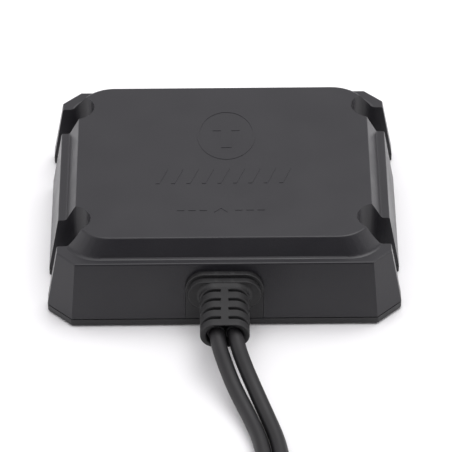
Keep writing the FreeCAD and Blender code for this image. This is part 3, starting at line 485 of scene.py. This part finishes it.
# Coax plug: heat-shrink sleeve and a six-sided coupling nut with a threaded mouth. Sizes in mm.
SLEEVE_OVER_LEAD, SLEEVE_RISE = 2.45, 0.5  # outer radius at the lead, and how much more at the ferrule
SLEEVE_END_AT_LEAD, SLEEVE_END_AT_FERRULE = 2.25, 2.6
SLEEVE_STEP_START, SLEEVE_STEP_LENGTH = 0.22, 0.2  # shares of its length
WRINKLE, WRINKLE_RATE = 0.035, 46
SLEEVE_POINTS = 60
NUT_FLAT, NUT_CORNER, NUT_EDGE, NUT_GROOVE = 4.0, 4.35, 3.95, 3.8
NUT_BORE, NUT_MOUTH = 2.42, 3.0
THREAD_TURNS, THREAD_PITCH, THREAD_DEPTH = 9, 0.55, 0.28


def shrink_sleeve():
    """A sleeve that widens from the lead to the plug's ferrule, and is slightly wrinkled."""
    low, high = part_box("plug_sleeve")
    middle_x, middle_z = (low.x + high.x) / 2, (low.z + high.z) / 2
    length = high.y - low.y
    profile = [(high.y, SLEEVE_END_AT_LEAD * MM)]
    for k in range(SLEEVE_POINTS + 1):
        share = k / SLEEVE_POINTS
        body = SLEEVE_OVER_LEAD + SLEEVE_RISE * ease((share - SLEEVE_STEP_START) / SLEEVE_STEP_LENGTH)
        wrinkle = WRINKLE * math.sin(share * WRINKLE_RATE) * math.sin(share * math.pi)
        profile.append((high.y - share * length, (body + wrinkle) * MM))
    profile.append((low.y, SLEEVE_END_AT_FERRULE * MM))
    piece = mesh_piece("plug_shrink_sleeve", *turned(middle_x, middle_z, profile))
    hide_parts("plug_sleeve")
    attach(piece, "unit")
    return finish_with(piece, "sleeve_black")


def six_sided(angle, radius):
    """Cuts a ring to the nut's six flats, one of them downwards."""
    from_flat = angle % (math.pi / 3) - math.pi / 6
    return min(radius, NUT_FLAT * MM / math.cos(from_flat))


def nut():
    """The nut's outside runs from its back to its mouth, and its inside back again."""
    low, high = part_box("coupling_nut")
    x, z = (low.x + high.x) / 2, (low.z + high.z) / 2
    length = (high.y - low.y) / MM
    # (distance from the back, radius)
    outside = [
        (0, NUT_BORE), (0, 3.55), (0.35, NUT_EDGE), (0.8, NUT_CORNER), (2.2, NUT_CORNER),
        (2.5, NUT_GROOVE), (2.8, NUT_GROOVE), (3.1, NUT_CORNER), (length - 0.9, NUT_CORNER),
        (length - 0.4, NUT_EDGE), (length, 3.5), (length, NUT_MOUTH + 0.25),
    ]
    inside = [(length - 0.25, NUT_MOUTH)]
    crest = NUT_MOUTH - THREAD_DEPTH
    for k in range(THREAD_TURNS):
        root = length - 0.4 - k * THREAD_PITCH
        inside += [
            (root, NUT_MOUTH), (root - THREAD_PITCH * 0.45, crest), (root - THREAD_PITCH * 0.55, crest),
        ]
    inside += [(1.6, NUT_MOUTH), (1.6, NUT_BORE)]
    profile = [(high.y - along * MM, radius * MM) for along, radius in outside + inside]
    shell = turned(x, z, profile, sides=72, reach=six_sided, loop=True)
    piece = mesh_piece("coupling_nut_threaded", *shell)
    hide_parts("coupling_nut")
    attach(piece, "nut")
    return finish_with(piece, "gold_plate")


sleeve, coupling = shrink_sleeve(), nut()


# Power plug: a moulded grip with a ringed tail and finger ribs. Sizes in mm.
TAIL, TAIL_RADIUS, TAIL_SPREAD = 5.0, 2.8, 0.16  # its spread is the radius gained for each mm
TAIL_POINTS, RING_PITCH, RING_WIDTH, RING_CUT = 40, 1.3, 0.75, 0.42
FIRST_CUT, LAST_CUT = 0.6, 4.6  # distances along the tail
SHOULDER, SHOULDER_POINTS = 3.0, 8
GRIP_NECK, GRIP_RADIUS, GRIP_POINTS = 3.6, 4.97, 60
RIB_START, RIB_END, RIB_PITCH = 0.25, 0.75, 0.1  # shares of the body's length
RIB_WAVE = 0.14  # half of a rib's depth
FRONT_ROUND, FRONT_ROUND_SHARE = 0.5, 0.04
TAIL_END, TAIL_BORE = 2.6, 2.25
FRONT_RIM, FRONT_SEAT, FRONT_BORE, SEAT_DEPTH = 3.4, 3.2, 2.7, 0.25


def grip():
    """The moulding from its tail at the lead to its front at the barrel."""
    low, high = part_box("power_plug_grip")
    x, z = (low.x + high.x) / 2, (low.z + high.z) / 2
    front, back = low.y, high.y
    profile = [(back, TAIL_BORE), (back, TAIL_END)]
    for k in range(TAIL_POINTS + 1):
        along = TAIL * k / TAIL_POINTS
        cut = RING_CUT if FIRST_CUT < along < LAST_CUT and along % RING_PITCH > RING_WIDTH else 0.0
        profile.append((back - along * MM, TAIL_RADIUS + TAIL_SPREAD * along - cut))
    for k in range(1, SHOULDER_POINTS + 1):
        share = k / SHOULDER_POINTS
        radius = GRIP_NECK + (GRIP_RADIUS - GRIP_NECK) * ease(share)
        profile.append((back - (TAIL + SHOULDER * share) * MM, radius))
    body = back - (TAIL + SHOULDER) * MM
    for k in range(1, GRIP_POINTS + 1):
        share = k / GRIP_POINTS
        rib = 0.0
        if RIB_START < share < RIB_END:
            rib = RIB_WAVE * (1 - math.cos(2 * math.pi * (share - RIB_START) / RIB_PITCH))
        rounding = FRONT_ROUND * max(0.0, (share - 1 + FRONT_ROUND_SHARE) / FRONT_ROUND_SHARE) ** 2
        profile.append((body + (front - body) * share, GRIP_RADIUS - rib - rounding))
    seat = front + SEAT_DEPTH * MM
    profile += [(front, FRONT_RIM), (seat, FRONT_SEAT), (seat, FRONT_BORE)]
    shell = turned(x, z, [(y, radius * MM) for y, radius in profile], sides=56)
    piece = mesh_piece("power_plug_moulding", *shell)
    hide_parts("power_plug_grip")
    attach(piece, "unit")
    return finish_with(piece, "grip_black")


moulding = grip()


# Generic marks on the lid, in low relief in its own plastic: a ringed arrow that points away from the
# leads, a row of slanted ribs, and a broken line with a chevron.
RELIEF, SUNK = 0.09, 0.2  # mm above the lid's top, and below it


def raised(name, outlines):
    """Flat shapes raised a little from the lid's top, each an outline of (x, y) in mm. A pair of
    outlines is a band between the two."""
    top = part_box("top_housing")[1].z
    parts = []
    for outer, inner in outlines:
        loops = [(outer, -SUNK), (outer, RELIEF)]
        if inner:
            loops += [(inner, RELIEF), (inner, -SUNK)]
        rings = [[Vector((x * MM, y * MM, top + height * MM)) for x, y in loop] for loop, height in loops]
        parts.append(skin(rings, loop=bool(inner)))
    piece = mesh_piece(name, *join(*parts))
    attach(piece, "unit")
    return finish_with(piece, "housing_plastic")


def oval(x, y, half_x, half_y):
    """An oval of 64 points."""
    turn = math.pi / 32
    return [(x + half_x * math.cos(k * turn), y + half_y * math.sin(k * turn)) for k in range(64)]


def slanted(x, y, half_x, half_y, lean):
    """A rib that leans over towards +X by lean from its foot to its head."""
    return [
        (x - half_x - lean / 2, y - half_y), (x + half_x - lean / 2, y - half_y),
        (x + half_x + lean / 2, y + half_y), (x - half_x + lean / 2, y + half_y),
    ]


def chevron(x, y, half, rise, thick):
    """An upward chevron."""
    return [
        (x - half, y - rise / 2), (x, y + rise / 2), (x + half, y - rise / 2),
        (x + half, y - rise / 2 - thick), (x, y + rise / 2 - thick), (x - half, y - rise / 2 - thick),
    ]


def arrow(x, y, half, height, stem):
    """An upward arrow with a stem."""
    neck = y + height / 2 - half
    return [
        (x, y + height / 2), (x - half, neck), (x - stem, neck), (x - stem, y - height / 2),
        (x + stem, y - height / 2), (x + stem, neck), (x + half, neck),
    ]


# Places and sizes of the marks, in mm from the middle of the lid.
SIGN_X, SIGN_Y = 0.9, 12.2
SIGN_HALF_X, SIGN_HALF_Y, SIGN_LINE = 8.4, 11.6, 0.6
RIB_COUNT, FIRST_RIB_X, RIB_STEP, RIBS_Y = 9, -17.6, 4.4, -7.2
LINE_X, DASHES_Y, CHEVRON_Y = -0.8, -22.7, -22.2
FIRST_DASH, DASH_STEP, DASH_COUNT = 5.0, 3.2, 3  # on each side of the chevron

sign_ring = (
    oval(SIGN_X, SIGN_Y, SIGN_HALF_X, SIGN_HALF_Y),
    oval(SIGN_X, SIGN_Y, SIGN_HALF_X - SIGN_LINE, SIGN_HALF_Y - SIGN_LINE),
)
sign_arrow = arrow(SIGN_X, SIGN_Y, half=3.9, height=12.0, stem=1.5)
ribs = [
    slanted(FIRST_RIB_X + RIB_STEP * k, RIBS_Y, half_x=0.55, half_y=3.4, lean=2.4) for k in range(RIB_COUNT)
]
dashes = [
    slanted(LINE_X + side * (FIRST_DASH + DASH_STEP * k), DASHES_Y, half_x=1.05, half_y=0.45, lean=0)
    for side in (-1, 1)
    for k in range(DASH_COUNT)
]
small_chevron = chevron(LINE_X, CHEVRON_Y, half=1.9, rise=1.9, thick=0.9)
raised("lid_sign", [sign_ring, (sign_arrow, None)])
raised("lid_ribs", [(rib, None) for rib in ribs])
raised("lid_line", [(shape, None) for shape in (*dashes, small_chevron)])


# Rounded edges on CAD pieces.
def soften(cad_node, width_mm):
    """Welds the node's points and rounds its sharp edges, by modifiers only."""
    weld = cad_node.modifiers.new("weld", "WELD")
    weld.merge_threshold = 1e-6
    edge = cad_node.modifiers.new("edge", "BEVEL")
    edge.width = width_mm * MM
    edge.segments = 2
    edge.limit_method = "ANGLE"
    edge.angle_limit = SHARP_ANGLE
    edge.use_clamp_overlap = True
    flatten_faces(cad_node)


for name, width in BEVELLED.items():
    soften(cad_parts[name], width)


# Stage: a pale floor, a pale sky and a soft light overhead.
# The sky's parts: where the direction's share along an axis starts and ends a ramp, and its strengths.
SKY_AHEAD = (-0.95, -0.25, 0.27, 0.86)
SKY_OVERHEAD = (0.70, 0.95, 0.0, 1.9)
SKY_BESIDE = (0.70, 0.95, 0.0, 0.8)
SKY_COLOUR, PAPER_COLOUR = (0.99, 0.98, 1.0, 1), (0.93, 0.925, 0.93, 1)
FLOOR_HALF, FLOOR_LEVEL = 4.0, -0.0003
LAMP_PLACE, LAMP_AIM = Vector((0.25, 0.35, 1.1)), Vector((0, -0.02, 0))
LAMP_SIZE, LAMP_WATTS = 0.7, 4.0


def floor():
    """A sheet of matt paper, just below what the unit stands on."""
    ways = ((-1, -1), (1, -1), (1, 1), (-1, 1))
    points = [(way_x * FLOOR_HALF, way_y * FLOOR_HALF, FLOOR_LEVEL) for way_x, way_y in ways]
    piece = mesh_piece("floor", points, [(0, 1, 2, 3)])
    paper = bpy.data.materials.new("paper")
    paper.use_nodes = True
    shader = paper.node_tree.nodes["Principled BSDF"]
    shader.inputs["Base Color"].default_value = PAPER_COLOUR
    shader.inputs["Roughness"].default_value = 0.9
    shader.inputs["Specular IOR Level"].default_value = 0.1
    piece.data.materials.append(paper)


def sky():
    """Strongest overhead, with more light from both sides, and dim behind the camera."""
    world = bpy.data.worlds.new("studio")
    bpy.context.scene.world = world
    world.use_nodes = True
    tree = world.node_tree
    add, link = tree.nodes.new, tree.links.new
    back = tree.nodes["Background"]
    place, split = add("ShaderNodeTexCoord"), add("ShaderNodeSeparateXYZ")
    link(place.outputs["Generated"], split.inputs["Vector"])

    def ramp(source, start, end, low, high):
        made = add("ShaderNodeMapRange")
        made.interpolation_type = "SMOOTHSTEP"
        for socket, amount in zip(RAMP, (start, end, low, high)):
            made.inputs[socket].default_value = amount
        link(source, made.inputs["Value"])
        return made.outputs["Result"]

    def combine(operation, *sources):
        made = add("ShaderNodeMath")
        made.operation = operation
        for source, socket in zip(sources, made.inputs):
            link(source, socket)
        return made.outputs["Value"]

    ahead = ramp(split.outputs["Y"], *SKY_AHEAD)
    overhead = ramp(split.outputs["Z"], *SKY_OVERHEAD)
    beside = ramp(combine("ABSOLUTE", split.outputs["X"]), *SKY_BESIDE)
    link(combine("ADD", combine("MAXIMUM", ahead, overhead), beside), back.inputs["Strength"])
    back.inputs["Color"].default_value = SKY_COLOUR


def overhead_light():
    light = bpy.data.lights.new("overhead_soft", "AREA")
    light.shape = "SQUARE"
    light.size = LAMP_SIZE
    light.energy = LAMP_WATTS
    lamp = bpy.data.objects.new("overhead_soft", light)
    bpy.context.scene.collection.objects.link(lamp)
    lamp.location = LAMP_PLACE
    lamp.rotation_mode = "QUATERNION"
    lamp.rotation_quaternion = (LAMP_AIM - LAMP_PLACE).to_track_quat("-Z", "Y")


floor()
sky()
overhead_light()
bpy.context.scene.view_settings.view_transform = "Standard"
